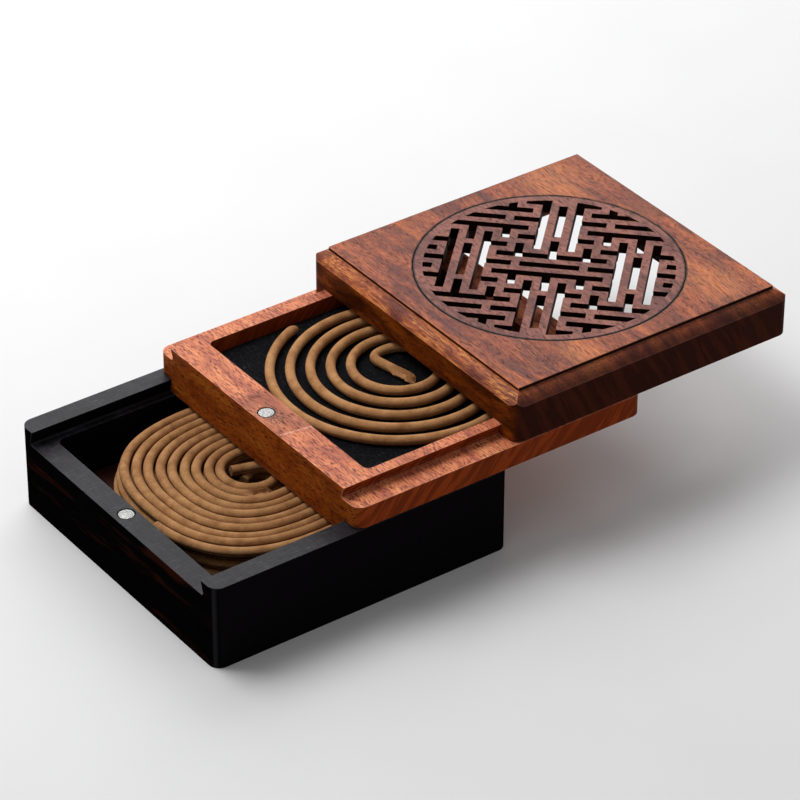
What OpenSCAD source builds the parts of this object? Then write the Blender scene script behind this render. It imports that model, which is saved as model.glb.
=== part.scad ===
// Coil incense burner in three sliding wooden tiers.
// The lower box stores spare coils, the tray burns one coil on a fire-proof mat, and the lid is pierced
// with a key fret. Each tier slides on the one below it in a through dovetail along X.
// Origin: centre of the box's underside, +Z up, +X the way the tiers open.
// The tiers are drawn as they stand when the burner is shown open: the tray pulled part of the way out
// over the box, and the lid part of the way out over the tray.

/* [Tiers] */
// Length of each tier along the slide
side_x = 120; // [116:1:150]
// Width of each tier across the slide
side_y = 120; // [116:1:150]
// Radius of the upright corners
corner_r = 4.2; // [2:0.1:5]
// How far the tray stands out over the box
tray_out = 57; // [0:1:80]
// How far the lid stands out over the tray
lid_out = 65; // [0:1:80]

/* [Box] */
// Height of the box to the top of its side lips
box_h = 32.4; // [31:0.1:45]
// Thickness of the box floor
box_floor = 8; // [4:0.1:9]
// Thickness of the two end walls
box_end_wall = 8.6; // [8.4:0.1:10]
// Thickness of the side walls below the channel
box_side_wall = 9.6; // [8.8:0.1:12]
// Radius in the upright corners of the coil store
store_corner_r = 3; // [1:0.5:6]

/* [Slides] */
// Depth of the channel in the box
channel_depth = 5.6; // [4:0.1:6]
// Height of the rail on the tray
rail_h = 4.4; // [3.5:0.1:6]
// Width of the lip that overhangs each slide
slide_lip = 7.8; // [6.5:0.1:8.5]
// How far each dovetail is undercut
slide_undercut = 1.3; // [0.8:0.1:1.8]
// Radius in the corners of the dovetails
slide_fillet = 1.2; // [0.5:0.1:1.6]
// Running gap all round each slide
slide_gap = 0.3; // [0.2:0.05:0.5]

/* [Tray] */
// Height of the tray's square edge
tray_edge_h = 8.3; // [7:0.1:12]
// Side of the square pocket
pocket_side = 95; // [90:0.5:98]
// Depth of the pocket
pocket_depth = 8.5; // [7.5:0.1:9.5]
// Radius in the pocket's upright corners
pocket_corner_r = 2.4; // [1:0.1:5]
// Thickness of the fire-proof mat
mat_t = 3; // [2:0.1:3.5]
// Gap between the mat and the pocket wall
mat_gap = 0.4; // [0.2:0.1:1]

/* [Lid] */
// Height of the lid's upright side
lid_side_h = 14.1; // [12:0.1:20]
// Height of the rounded border above the side
border_h = 3.3; // [2:0.1:5]
// Width of the rounded border
border_w = 4.4; // [3:0.1:7]
// Bulge of the rounded border beyond its straight line
border_bulge = 0.5; // [0.3:0.1:1.2]
// Step between the border and the flat field
field_step = 1.4; // [0.3:0.1:2]
// Width of the ledge that carries the grille
grille_ledge = 2.9; // [1.5:0.1:3]
// Thickness of that ledge
ledge_t = 1.2; // [1:0.1:2]

/* [Grille] */
// Diameter of the let-in grille disc
grille_d = 95.6; // [90:0.1:100]
// Thickness of the grille disc
grille_t = 4.4; // [3:0.1:5.4]
// Gap round the grille disc
grille_gap = 0.35; // [0.1:0.05:0.5]
// Step of the fret from slot to slot
fret_step = 6.04; // [5.5:0.01:7]
// Width of the slots
slot_w = 3.1; // [2.2:0.1:3.4]
// Plain rim round the fret
fret_rim = 3.3; // [2.9:0.1:6]

/* [Magnets] */
// Diameter of the magnets
magnet_d = 5.8; // [4:0.1:6]
// Thickness of the magnets
magnet_t = 2; // [1:0.1:3]
// Gap round a magnet in its hole
magnet_gap = 0.3; // [0.1:0.05:0.3]
// Distance of the magnets from the end faces
magnet_inset = 4.7; // [4.3:0.1:4.9]
// How far the magnets lie below the wood
magnet_sink = 0.1; // [0:0.05:0.4]

/* [Incense] */
// Diameter of the incense stick
stick_d = 3.3; // [2.6:0.1:3.4]
// Gap under each loose piece
seat_gap = 0.2; // [0.1:0.05:0.3]
// Gap between the two coils of a stored pair
pair_gap = 0.5; // [0.3:0.05:0.8]
// Clear space round the stored coils
store_clear = 0.6; // [0.5:0.1:4]
// How far the stored coils lie off the middle along X
store_shift = 4.5; // [0:0.1:6]
// How far the stored coils lie off the middle along Y
store_shift_y = 1.2; // [0:0.1:3]
// Clear space round the coil in the tray
burn_clear = 0.3; // [0.2:0.1:4]
// How far the coil in the tray lies off the middle along X
burn_shift_x = 1.6; // [0:0.1:3]
// How far the coil in the tray lies off the middle along Y
burn_shift_y = 1.2; // [0:0.1:2]
// How far the outer turns of the coil in the tray have slipped towards the pocket's near corner
burn_slip = 2.1; // [0:0.1:4]
// How far the outer turns of the stored coils bulge into the corners of the store
store_bulge = 3; // [0:0.1:4]
// Smallest radius of the stored spirals
store_inner_r = 8; // [8:0.1:14]
// Smallest radius of the spiral in the tray
burn_inner_r = 11; // [10.5:0.1:16]

/* [Hidden] */
circle_sides = 64;
$fn = circle_sides;
big = 400;

// Levels from the table upwards
channel_z = box_h - channel_depth;
tongue_z = channel_z + slide_gap;
tray_z = box_h + slide_gap;
ledge_z = tray_z + tray_edge_h;
rail_z = ledge_z + rail_h;
pocket_z = rail_z - pocket_depth;
mat_z = pocket_z + seat_gap;
mat_top_z = mat_z + mat_t;
lid_z = ledge_z + slide_gap;
ceiling_z = rail_z + slide_gap;
arris_z = lid_z + lid_side_h;
border_top_z = arris_z + border_h;
field_z = border_top_z + field_step;
grille_z = field_z - grille_t;

// Half widths of the dovetails
slide_half = side_y / 2 - slide_lip;
channel_half = slide_half + slide_undercut;
rail_root_half = slide_half - slide_undercut;

// Places of the tray and the lid along X
tray_x = tray_out;
lid_x = tray_out + lid_out;
magnet_x = magnet_inset - side_x / 2;

// The coil store
store_x = side_x - 2 * box_end_wall;
store_y = side_y - 2 * box_side_wall;

// Stored coils: two spirals lie one in the other, so each winds at twice the stick's own spacing
store_r = min(store_x / 2 - store_shift, store_y / 2 - store_shift_y) - stick_d / 2 - store_clear;
store_pitch = 2 * (stick_d + pair_gap);
store_start = 9;
store_hook_at = 290;
store_blunt_at = 269;
store_whole = floor((store_r - store_inner_r) / store_pitch - (store_hook_at - store_start) / 360);
store_layer = stick_d + seat_gap;
layer_twist = 47;
store_hook_r = 5.5;
store_hook_turn = 143;
store_tip = 9;

// As many pairs lie on each other as fit under the tray
pairs = floor((tongue_z - box_floor) / store_layer);

// Coil in the tray
burn_r = pocket_side / 2 - stick_d / 2 - burn_clear;
burn_start = 108;
burn_hook_at = 101;
burn_turns = 5 - (burn_start - burn_hook_at) / 360;
burn_pitch = (burn_r - burn_inner_r) / burn_turns;
burn_hook_r = 3.5;
burn_hook_turn = 88;
burn_tip = 18;

// Rings to a turn and sides of the stick: fine where the coil shows, coarse under the top pair
fine_rings = 24;
fine_sides = 6;
coarse_rings = 12;
coarse_sides = 4;

// Points that follow each other this closely belong to the same stretch of a stick, so no gap is taken between them
near_points = 14;

ebony = [0.09, 0.085, 0.09];
tray_wood = [0.66, 0.36, 0.2];
lid_wood = [0.5, 0.29, 0.22];
grille_wood = [0.54, 0.35, 0.3];
incense = [0.6, 0.44, 0.28];
felt = [0.1, 0.1, 0.11];
nickel = [0.78, 0.78, 0.76];

STORED = [for (k = [1:pairs]) for (s = ["a", "b"]) str("stored_coil_", k, s)];

// Flat shapes

// Rectangle about the origin with round corners
module rounded_rect(x, y, r) {
    square([x - 2 * r, y], center = true);
    square([x, y - 2 * r], center = true);
    for (sx = [-1, 1]) for (sy = [-1, 1]) translate([sx * (x / 2 - r), sy * (y / 2 - r)]) circle(r);
}

// Points of an arc from angle a0 to a1
function arc(cx, cy, r, a0, a1, n = 6) =
    [for (k = [0:n]) let(a = a0 + (a1 - a0) * k / n) [cx + r * cos(a), cy + r * sin(a)]];

// The same points on the other side of the middle line, in reverse order
function mirrored(points) = [for (k = [len(points) - 1:-1:0]) [-points[k][0], points[k][1]]];

// Right half of the lower dovetail, drawn in by gap: wide and rounded below, narrow above
function lower_side(gap, top) = concat(
    arc(channel_half - gap - slide_fillet, channel_z + gap + slide_fillet, slide_fillet, -90, 0),
    [[slide_half - gap, box_h], [slide_half - gap, top]]
);

// Right half of the upper dovetail, drawn out by gap: wide above, with a cove at its root
function upper_side(gap, foot) = concat(
    [[rail_root_half + gap + slide_fillet, foot]],
    arc(rail_root_half + gap + slide_fillet, ledge_z + gap + slide_fillet, slide_fillet, 270, 180),
    [[slide_half + gap, rail_z + gap]]
);

// Extrudes a shape drawn in the YZ plane along X, over the whole length and more by extra at each end
module along_x(length, extra = 0) {
    translate([-length / 2 - extra, 0, 0]) rotate([90, 0, 90]) linear_extrude(length + 2 * extra) children();
}

module lower_dovetail(gap, top) {
    right = lower_side(gap, top);
    polygon(concat(right, mirrored(right)));
}

module upper_dovetail(gap, foot) {
    right = upper_side(gap, foot);
    polygon(concat(right, mirrored(right)));
}

// Outline of the lid's side with its rounded border and the step up to the field
module lid_outline(width) {
    chord = norm([border_w, border_h]);
    bow_r = (chord * chord / 4 + border_bulge * border_bulge) / (2 * border_bulge);
    mid = [width / 2 - border_w / 2, arris_z + border_h / 2];
    inward = [-border_h, -border_w] / chord * (bow_r - border_bulge);
    c = mid + inward;
    a0 = atan2(arris_z - c[1], width / 2 - c[0]);
    a1 = atan2(border_top_z - c[1], width / 2 - border_w - c[0]);
    right = concat(
        [[width / 2, 0]],
        arc(c[0], c[1], bow_r, a0, a1, 8),
        [[width / 2 - border_w, field_z]]
    );
    polygon(concat(right, mirrored(right)));
}

// Incense sticks

// A spiral that winds in from radius r at angle a0, anticlockwise seen from above. Its points lie at whole
// steps from a0 up to the end, so that the flats of neighbouring turns line up. The outer turns bulge into
// the four corners of a square that is turned back by turned, and slip sideways by slip
function spiral(r, pitch, turns, a0, rings, bulge = 0, turned = 0, slip = [0, 0]) =
    let(n = round(turns * rings))
    [
        for (k = [0:n])
            let(
                t = k < n ? k / rings : turns,
                a = a0 + 360 * t,
                outer = 1 - t / turns,
                out = bulge * outer * pow(sin(2 * (a + turned)), 2)
            )
            (r - pitch * t + out) * [cos(a), sin(a)] + slip * outer
    ];

// Points that carry a path on: a tight arc to the left, and then a straight tip
function hook(p, heading, r, turn, tip, rings) =
    let(
        n = ceil(turn / 360 * rings * 1.5),
        c = p + r * [-sin(heading), cos(heading)],
        bend = [for (k = [1:n]) let(a = heading - 90 + turn * k / n) c + r * [cos(a), sin(a)]],
        end = heading + turn
    )
    concat(bend, [for (k = [1:2]) bend[n - 1] + tip * k / 2 * [cos(end), sin(end)]]);

// A spiral that is carried on by a hook. Its winding ends at angle a1
function hooked(wind, a1, hook_r, turn, tip, rings) =
    concat(wind, hook(wind[len(wind) - 1], a1 + 90, hook_r, turn, tip, rings));

// Direction of a path at point k
function heading_at(path, k) =
    let(d = path[min(k + 1, len(path) - 1)] - path[max(k - 1, 0)]) d / norm(d);

// A stick of round section with the given number of sides along a flat path
module stick(path, sides) {
    last = len(path) - 1;
    points = [
        for (k = [0:last])
            let(d = heading_at(path, k), side = [-d[1], d[0]])
            for (j = [0:sides - 1])
                let(a = 360 * j / sides, p = path[k] + side * cos(a) * stick_d / 2)
                [p[0], p[1], sin(a) * stick_d / 2]
    ];
    skin = [
        for (k = [0:last - 1]) for (j = [0:sides - 1])
            let(a = k * sides + j, b = k * sides + (j + 1) % sides)
            each [[a, a + sides, b], [b, a + sides, b + sides]]
    ];
    tail = last * sides;
    start_cap = [for (j = [1:sides - 2]) [0, j, j + 1]];
    end_cap = [for (j = [1:sides - 2]) [tail, tail + j + 1, tail + j]];
    polyhedron(points, concat(skin, start_cap, end_cap));
}

// Least distance between the skins of a stick's own loops, leaving out points less than apart steps away
function own_gap(path, apart) =
    min([for (k = [0:len(path) - 1 - apart]) for (j = [k + apart:len(path) - 1]) norm(path[k] - path[j])]) - stick_d;

// Least distance between the skins of two sticks that lie side by side
function side_gap(path, other) = min([for (p = path) for (q = other) norm(p - q)]) - stick_d;

function stored_a(rings, turned = 0) =
    hooked(
        spiral(
            store_r, store_pitch, store_whole + (store_hook_at - store_start) / 360, store_start,
            rings, store_bulge, turned
        ),
        store_hook_at, store_hook_r, store_hook_turn, store_tip, rings
    );

function stored_b(rings, turned = 0) =
    spiral(
        store_r, store_pitch, store_whole + (store_blunt_at - store_start - 180) / 360, store_start + 180,
        rings, store_bulge, turned
    );

burn_path = hooked(
    spiral(
        burn_r, burn_pitch, burn_turns, burn_start, fine_rings,
        slip = -burn_slip * [1, 1.1]
    ),
    burn_hook_at, burn_hook_r, burn_hook_turn, burn_tip, fine_rings
);

echo(
    burning_coil_own_gap = own_gap(burn_path, near_points),
    stored_a_own_gap = own_gap(stored_a(fine_rings), near_points),
    stored_b_own_gap = own_gap(stored_b(fine_rings), near_points),
    gap_of_a_pair = side_gap(stored_a(fine_rings), stored_b(fine_rings)),
    gap_of_a_coarse_pair = side_gap(stored_a(coarse_rings), stored_b(coarse_rings))
);

// Wooden tiers

// The lower box: a rounded block with a dovetail channel right through it and the coil store below
module box_body() {
    color(ebony) difference() {
        linear_extrude(box_h) rounded_rect(side_x, side_y, corner_r);
        along_x(side_x, 1) lower_dovetail(0, box_h + 1);
        translate([0, 0, box_floor]) linear_extrude(box_h) rounded_rect(store_x, store_y, store_corner_r);
        translate([magnet_x, 0, channel_z - magnet_sink - magnet_t]) cylinder(box_h, d = magnet_d + 2 * magnet_gap);
    }
}

// The tray: a tongue below, a square edge, a rail above, and a square pocket
module tray_body() {
    color(tray_wood) translate([tray_x, 0, 0]) difference() {
        union() {
            along_x(side_x) lower_dovetail(slide_gap, tray_z + 1);
            translate([0, 0, tray_z]) linear_extrude(tray_edge_h) rounded_rect(side_x, side_y, corner_r);
            along_x(side_x) upper_dovetail(0, ledge_z - 1);
        }
        translate([0, 0, pocket_z]) linear_extrude(box_h) rounded_rect(pocket_side, pocket_side, pocket_corner_r);
        translate([magnet_x, 0, rail_z - magnet_sink - magnet_t]) cylinder(box_h, d = magnet_d + 2 * magnet_gap);
        translate([magnet_x, 0, tongue_z - 1])
            cylinder(1 + magnet_sink + magnet_t, d = magnet_d + 2 * magnet_gap);
    }
}

// The lid: a block with a rounded border and a raised field, the channel for the tray's rail,
// a smoke hollow as wide as the tray's pocket, and a seat for the grille
module lid_body() {
    color(lid_wood) translate([lid_x, 0, 0]) difference() {
        intersection() {
            translate([0, 0, lid_z]) linear_extrude(field_z - lid_z) rounded_rect(side_x, side_y, corner_r);
            along_x(side_x, 1) lid_outline(side_y);
            rotate([0, 0, 90]) along_x(side_y, 1) lid_outline(side_x);
        }
        along_x(side_x, 1) upper_dovetail(slide_gap, lid_z - 1);
        translate([0, 0, ceiling_z - 1]) linear_extrude(grille_z - ledge_t - ceiling_z + 1)
            rounded_rect(pocket_side, pocket_side, pocket_corner_r);
        translate([0, 0, ceiling_z - 1]) cylinder(big, d = grille_d - 2 * grille_ledge);
        translate([0, 0, grille_z]) cylinder(big, d = grille_d + 2 * grille_gap);
        translate([magnet_x, 0, ceiling_z - 1])
            cylinder(1 + magnet_sink + magnet_t, d = magnet_d + 2 * magnet_gap);
    }
}

// The grille

// One slot between two points of the fret's own grid
module slot(i0, j0, i1, j1) {
    translate([i0 * fret_step - slot_w / 2, j0 * fret_step - slot_w / 2])
        square([(i1 - i0) * fret_step + slot_w, (j1 - j0) * fret_step + slot_w]);
}

// Slots of one quarter of the fret, as grid points from and to; the rim trims those that run past it
QUARTER = [
    [0, 0, 0, 1.5], [0, 2.5, 0, 4], [1, 0, 1, 3], [1, 0, 2.5, 0], [1, 2, 2, 2],
    [3.5, 0, 6.5, 0], [2, 1, 8, 1], [3, 1, 3, 2], [5, 1, 5, 2.5], [7, 1, 7, 2],
    [4, 2, 4, 8], [3, 3, 4, 3], [2.5, 5, 4, 5], [5, 3.5, 5, 8], [6, 2, 6, 8], [6, 3, 8, 3],
    [0, 4, 3, 4], [2, 3, 2, 4], [0, 5, 1.5, 5], [0, 6, 3, 6], [0, 6, 0, 8], [2, 6, 2, 8], [1, 7, 1, 8]
];

module fret() {
    intersection() {
        circle(grille_d / 2 - fret_rim);
        for (mx = [0, 1]) for (my = [0, 1]) mirror([mx, 0]) mirror([0, my])
            for (s = QUARTER) slot(s[0], s[1], s[2], s[3]);
    }
}

module lid_grille() {
    color(grille_wood) translate([lid_x, 0, grille_z]) linear_extrude(grille_t) difference() {
        circle(grille_d / 2);
        rotate(45) fret();
    }
}

// Small pieces

// A disc magnet whose lower face is at z
module magnet(x, z) {
    color(nickel) translate([x + magnet_x, 0, z]) cylinder(magnet_t, d = magnet_d);
}

module fireproof_mat() {
    color(felt) translate([tray_x, 0, mat_z]) linear_extrude(mat_t)
        rounded_rect(pocket_side - 2 * mat_gap, pocket_side - 2 * mat_gap, pocket_corner_r - mat_gap);
}

module burning_coil() {
    color(incense) translate([tray_x + burn_shift_x, burn_shift_y, mat_top_z + seat_gap + stick_d / 2])
        stick(burn_path, fine_sides);
}

// Stored coil of pair k, counted from the floor; s is "a" for the hooked one and "b" for the blunt one
module stored_coil(k, s) {
    rings = k == pairs ? fine_rings : coarse_rings;
    sides = k == pairs ? fine_sides : coarse_sides;
    z = box_floor + seat_gap + stick_d / 2 + (k - 1) * store_layer;
    turned = (pairs - k) * layer_twist;
    color(incense) translate([-store_shift, -store_shift_y, z]) rotate([0, 0, turned])
        stick(s == "a" ? stored_a(rings, turned) : stored_b(rings, turned), sides);
}

box_body();
magnet(0, channel_z - magnet_sink - magnet_t);  // box_magnet
for (k = [1:pairs]) for (s = ["a", "b"])
    stored_coil(k, s);
tray_body();
magnet(tray_x, tongue_z + magnet_sink);  // tray_under_magnet
magnet(tray_x, rail_z - magnet_sink - magnet_t);  // tray_top_magnet
fireproof_mat();
burning_coil();
lid_body();
magnet(lid_x, ceiling_z + magnet_sink);  // lid_magnet
lid_grille();
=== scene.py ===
"""Looks of a coil incense burner in three sliding wooden tiers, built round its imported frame.

Sizes are in millimetres and angles in degrees, unless a docstring says otherwise.
"""

import logging
import math
from collections.abc import Callable, Iterator
from contextlib import contextmanager
from dataclasses import dataclass, replace
from enum import Enum
from functools import reduce

import bmesh
import bpy
from mathutils import Matrix, Vector, noise


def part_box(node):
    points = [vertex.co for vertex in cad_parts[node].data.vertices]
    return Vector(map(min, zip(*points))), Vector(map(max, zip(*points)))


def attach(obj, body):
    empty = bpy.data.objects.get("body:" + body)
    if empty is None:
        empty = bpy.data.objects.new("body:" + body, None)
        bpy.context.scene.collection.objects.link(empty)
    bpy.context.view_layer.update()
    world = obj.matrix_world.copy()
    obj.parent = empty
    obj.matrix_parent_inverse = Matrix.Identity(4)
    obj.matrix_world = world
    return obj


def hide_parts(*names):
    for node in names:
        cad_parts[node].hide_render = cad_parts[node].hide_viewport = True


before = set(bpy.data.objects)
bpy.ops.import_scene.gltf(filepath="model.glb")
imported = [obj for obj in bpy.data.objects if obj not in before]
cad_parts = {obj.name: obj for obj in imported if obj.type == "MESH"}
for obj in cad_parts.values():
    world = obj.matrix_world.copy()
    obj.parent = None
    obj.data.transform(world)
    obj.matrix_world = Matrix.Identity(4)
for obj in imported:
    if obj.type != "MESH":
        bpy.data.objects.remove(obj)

log = logging.getLogger("incense_burner")

MM = 0.001
Pair = tuple[float, float]
Triple = tuple[float, float, float]
Colour = tuple[float, float, float]
Socket = bpy.types.NodeSocket
Material = bpy.types.Material
Object = bpy.types.Object


class Tier(Enum):
    """The three bodies that slide on each other."""

    BOX = "box"
    TRAY = "tray"
    LID = "lid"


class End(Enum):
    """How the end of an incense stick looks."""

    SQUARE = "cut square"
    SLANTED = "cut at a slant"
    TORN = "torn off"


class Face(Enum):
    """Which faces of a wooden piece a finish is for, in the order of its material slots."""

    # Each wood gets one copy per face, and the copies differ in painted light: a highlight on edges, shade
    # on rosewood's sides and a sheen on ebony's tops.
    FLAT = "flat"
    EDGE = "edge"
    SIDE = "side"


def srgb(red: int, green: int, blue: int) -> Colour:
    """Turns a colour as a screen shows it into the linear values that shaders take.

    Args:
        red: Red from 0 to 255.
        green: Green from 0 to 255.
        blue: Blue from 0 to 255.

    Returns:
        The same colour in linear values.
    """
    parts = [c / 255 for c in (red, green, blue)]
    return tuple(c / 12.92 if c <= 0.04045 else ((c + 0.055) / 1.055) ** 2.4 for c in parts)


# Tools for modelling


def pick(obj: Object) -> None:
    """Deselects everything, then selects one object and makes it the active one."""
    bpy.ops.object.select_all(action="DESELECT")
    obj.select_set(True)
    bpy.context.view_layer.objects.active = obj


def linked(name: str, data: bpy.types.ID) -> Object:
    """Puts a new object with this mesh, curve, lamp or camera into the scene."""
    obj = bpy.data.objects.new(name, data)
    bpy.context.scene.collection.objects.link(obj)
    return obj


def primitive(name: str, operator: Callable[..., object], **settings: object) -> Object:
    """Adds a primitive and moves its place and turn into its mesh.

    Args:
        name: Name of the new object.
        operator: The operator that adds it.
        settings: Its sizes, place and turn.

    Returns:
        The object.
    """
    bpy.ops.object.select_all(action="DESELECT")
    operator(**settings)
    obj = bpy.context.object
    obj.name = name
    pick(obj)
    bpy.ops.object.transform_apply(location=True, rotation=True, scale=True)
    return obj


@contextmanager
def editing(obj: Object, mode: str = "VERT") -> Iterator[None]:
    """Opens an object in edit mode, with everything deselected, and closes it again.

    Args:
        obj: The object to edit.
        mode: Selection mode, VERT, EDGE or FACE.

    Yields:
        Nothing; operators inside the block act on the object.
    """
    pick(obj)
    bpy.ops.object.mode_set(mode="EDIT")
    bpy.ops.mesh.select_mode(type=mode)
    bpy.ops.mesh.select_all(action="DESELECT")
    yield
    bpy.ops.object.mode_set(mode="OBJECT")


def mark(obj: Object, kind: str, test: Callable[..., bool]) -> int:
    """Selects the parts of an object in edit mode that pass a test.

    Args:
        obj: The object being edited.
        kind: Which parts to look at: edges or faces.
        test: Says whether one of them is to be selected.

    Returns:
        How many were selected.
    """
    mesh = bmesh.from_edit_mesh(obj.data)
    found = [part for part in getattr(mesh, kind) if test(part)]
    for part in found:
        part.select_set(True)
    mesh.select_flush_mode()
    bmesh.update_edit_mesh(obj.data)
    return len(found)


def modify(obj: Object, kind: str, **settings: object) -> None:
    """Adds a modifier with these settings and applies it at once.

    Args:
        obj: The object to change.
        kind: Blender's name for the modifier.
        settings: Values for the modifier's own properties.
    """
    pick(obj)
    modifier = obj.modifiers.new(kind.title(), kind)
    for name, value in settings.items():
        setattr(modifier, name, value)
    bpy.ops.object.modifier_apply(modifier=modifier.name)


def ease(obj: Object, width: float, degrees: float, **settings: object) -> None:
    """Rounds the edges at which an object's faces meet at more than an angle.

    Args:
        obj: The object to change.
        width: Width of the rounding in millimetres.
        degrees: The angle.
        settings: More values for the bevel modifier.
    """
    angle = math.radians(degrees)
    modify(obj, "BEVEL", width=width * MM, segments=3, limit_method="ANGLE", angle_limit=angle, **settings)


def lumps(obj: Object, name: str, grain: float, depth: int, height: float, **settings: object) -> None:
    """Pushes an object's surface in and out by random lumps.

    Args:
        obj: The object to change.
        name: Name of the texture that holds the lumps.
        grain: Size of one lump in millimetres.
        depth: How many finer layers lie in it.
        height: Strength of the push in millimetres.
        settings: More values for the displace modifier.
    """
    texture = bpy.data.textures.new(name, "CLOUDS")
    texture.noise_scale = grain * MM
    texture.noise_depth = depth
    modify(obj, "DISPLACE", texture=texture, texture_coords="LOCAL", strength=height * MM, **settings)


def weigh(obj: Object, name: str, weight: Callable[[Vector], float]) -> None:
    """Makes a vertex group whose weights come from where each vertex lies.

    Args:
        obj: The object.
        name: Name of the group.
        weight: Gives the weight for a place; it is kept between 0 and 1.
    """
    group = obj.vertex_groups.new(name=name)
    for vertex in obj.data.vertices:
        group.add([vertex.index], min(1.0, max(0.0, weight(vertex.co))), "REPLACE")


def smooth(obj: Object, degrees: float) -> None:
    """Shades an object smooth except where its faces meet at more than an angle."""
    pick(obj)
    bpy.ops.object.shade_smooth_by_angle(angle=math.radians(degrees))


# Tools for finishes


class Graph:
    """A material's nodes, written from the place on the piece to the shader."""

    def __init__(self, name: str) -> None:
        """Starts an empty material with its shader.

        Args:
            name: Name of the material.
        """
        self.material = bpy.data.materials.new(name)
        self.material.use_nodes = True
        self.nodes = self.material.node_tree.nodes
        self.links = self.material.node_tree.links
        self.shader = self.nodes["Principled BSDF"]
        here = self.add("ShaderNodeTexCoord", {})
        self.place = here.outputs["Object"]
        self.normal = here.outputs["Normal"]
        self.colour: Socket | None = None

    def add(self, kind: str, inputs: dict[int | str, object], **settings: object) -> bpy.types.Node:
        """Adds a node, sets its properties and fills its inputs.

        Args:
            kind: Blender's name for the node.
            inputs: What goes into each input, by its number or name.
            settings: Values for the node's own properties.

        Returns:
            The node.
        """
        node = self.nodes.new(kind)
        for name, value in settings.items():
            setattr(node, name, value)
        for socket, value in inputs.items():
            self.feed(node.inputs[socket], value)
        return node

    def feed(self, socket: Socket, value: object) -> None:
        """Sets a socket, or links it when the value is another socket.

        Args:
            socket: The input to fill.
            value: A number, a colour, a vector or an output socket.
        """
        if isinstance(value, bpy.types.NodeSocket):
            self.links.new(value, socket)
        elif socket.type == "RGBA":
            socket.default_value = (*value, 1.0)
        else:
            socket.default_value = value

    def calc(self, operation: str, first: object, second: object = 0.0) -> Socket:
        """Joins two numbers by one of Blender's sums."""
        return self.add("ShaderNodeMath", {0: first, 1: second}, operation=operation).outputs[0]

    def plus(self, first: object, second: object) -> Socket:
        """Adds two numbers."""
        return self.calc("ADD", first, second)

    def minus(self, first: object, second: object) -> Socket:
        """Takes the second number from the first."""
        return self.calc("SUBTRACT", first, second)

    def times(self, *values: object) -> object:
        """Multiplies numbers; a single one is handed back as it is."""
        return reduce(lambda product, value: self.calc("MULTIPLY", product, value), values)

    def vector(self, operation: str, first: object, second: object) -> Socket:
        """Joins two vectors by one of Blender's sums."""
        return self.add("ShaderNodeVectorMath", {0: first, 1: second}, operation=operation).outputs[0]

    def part(self, vector: Socket, axis: str) -> Socket:
        """Takes one axis out of a vector."""
        return self.add("ShaderNodeSeparateXYZ", {0: vector}).outputs[axis]

    def along(self, axis: str) -> Socket:
        """The place along one axis of the piece, in metres."""
        return self.part(self.place, axis)

    def facing(self, axis: str) -> Socket:
        """How squarely a face looks along an axis of the piece, from 0 to 1."""
        return self.calc("ABSOLUTE", self.part(self.normal, axis))

    def distance(self, middle: Triple, share: Triple) -> Socket:
        """How far a place on the piece lies from a middle, in metres.

        Args:
            middle: The middle, in millimetres.
            share: How much each axis counts.

        Returns:
            The distance.
        """
        off = self.vector("SUBTRACT", self.place, tuple(m * MM for m in middle))
        off = self.vector("MULTIPLY", off, share)
        return self.add("ShaderNodeVectorMath", {0: off}, operation="LENGTH").outputs["Value"]

    def turned(self, place: Socket, degrees: float) -> Socket:
        """Turns a place about the Y axis of the piece."""
        inputs = {"Vector": place, "Angle": math.radians(degrees)}
        return self.add("ShaderNodeVectorRotate", inputs, rotation_type="Y_AXIS").outputs[0]

    def noise(self, place: Socket, size: Triple, detail: float, roughness: float) -> bpy.types.Node:
        """Adds soft random values.

        Args:
            place: The place in metres.
            size: Size of one step along each axis, in millimetres.
            detail: How many finer layers lie in it.
            roughness: How strong the finer layers are.

        Returns:
            The noise node.
        """
        scaled = self.vector("MULTIPLY", place, tuple(1 / (s * MM) for s in size))
        inputs = {"Vector": scaled, "Scale": 1.0, "Detail": detail, "Roughness": roughness}
        return self.add("ShaderNodeTexNoise", inputs)

    def pattern(self, place: Socket, size: Triple, detail: float = 3.0, roughness: float = 0.5) -> Socket:
        """Soft random values from 0 to 1, with the arguments of noise."""
        return self.noise(place, size, detail, roughness).outputs["Fac"]

    def drift(self, place: Socket, size: float, reach: Triple) -> Socket:
        """Bends a place by slow noise, so that straight patterns wander.

        Args:
            place: The place in metres.
            size: Size of one bend in millimetres.
            reach: How far each axis may wander, in millimetres.

        Returns:
            The bent place.
        """
        waves = self.noise(place, (size, size, size), 1.0, 0.5).outputs["Color"]
        centred = self.vector("SUBTRACT", waves, (0.5, 0.5, 0.5))
        return self.vector("ADD", place, self.vector("MULTIPLY", centred, tuple(r * MM for r in reach)))

    def ramp(self, value: Socket, low: float, high: float) -> Socket:
        """Turns a value into 0 at low and 1 at high, smoothly between them."""
        inputs = {0: value, 1: low, 2: high, 3: 0.0, 4: 1.0}
        return self.add("ShaderNodeMapRange", inputs, interpolation_type="SMOOTHSTEP").outputs[0]

    def step(self, length: Socket, low: float, high: float) -> Socket:
        """Turns a length in metres into 0 at low and 1 at high, both in millimetres."""
        return self.ramp(length, low * MM, high * MM)

    def within(self, axis: str, low: float, high: float, soft: float) -> Socket:
        """One between two places along an axis and zero outside them, all in millimetres."""
        value = self.along(axis)
        past = self.step(value, high - soft, high + soft)
        return self.times(self.step(value, low - soft, low + soft), self.minus(1.0, past))

    def near(self, x: float, y: float, radius: float) -> Socket:
        """One at a place on the top and zero from a radius on, in millimetres; longer along Y."""
        return self.step(self.distance((x, y, 0), (1.0, 0.7, 0.0)), radius, 0.2 * radius)

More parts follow.
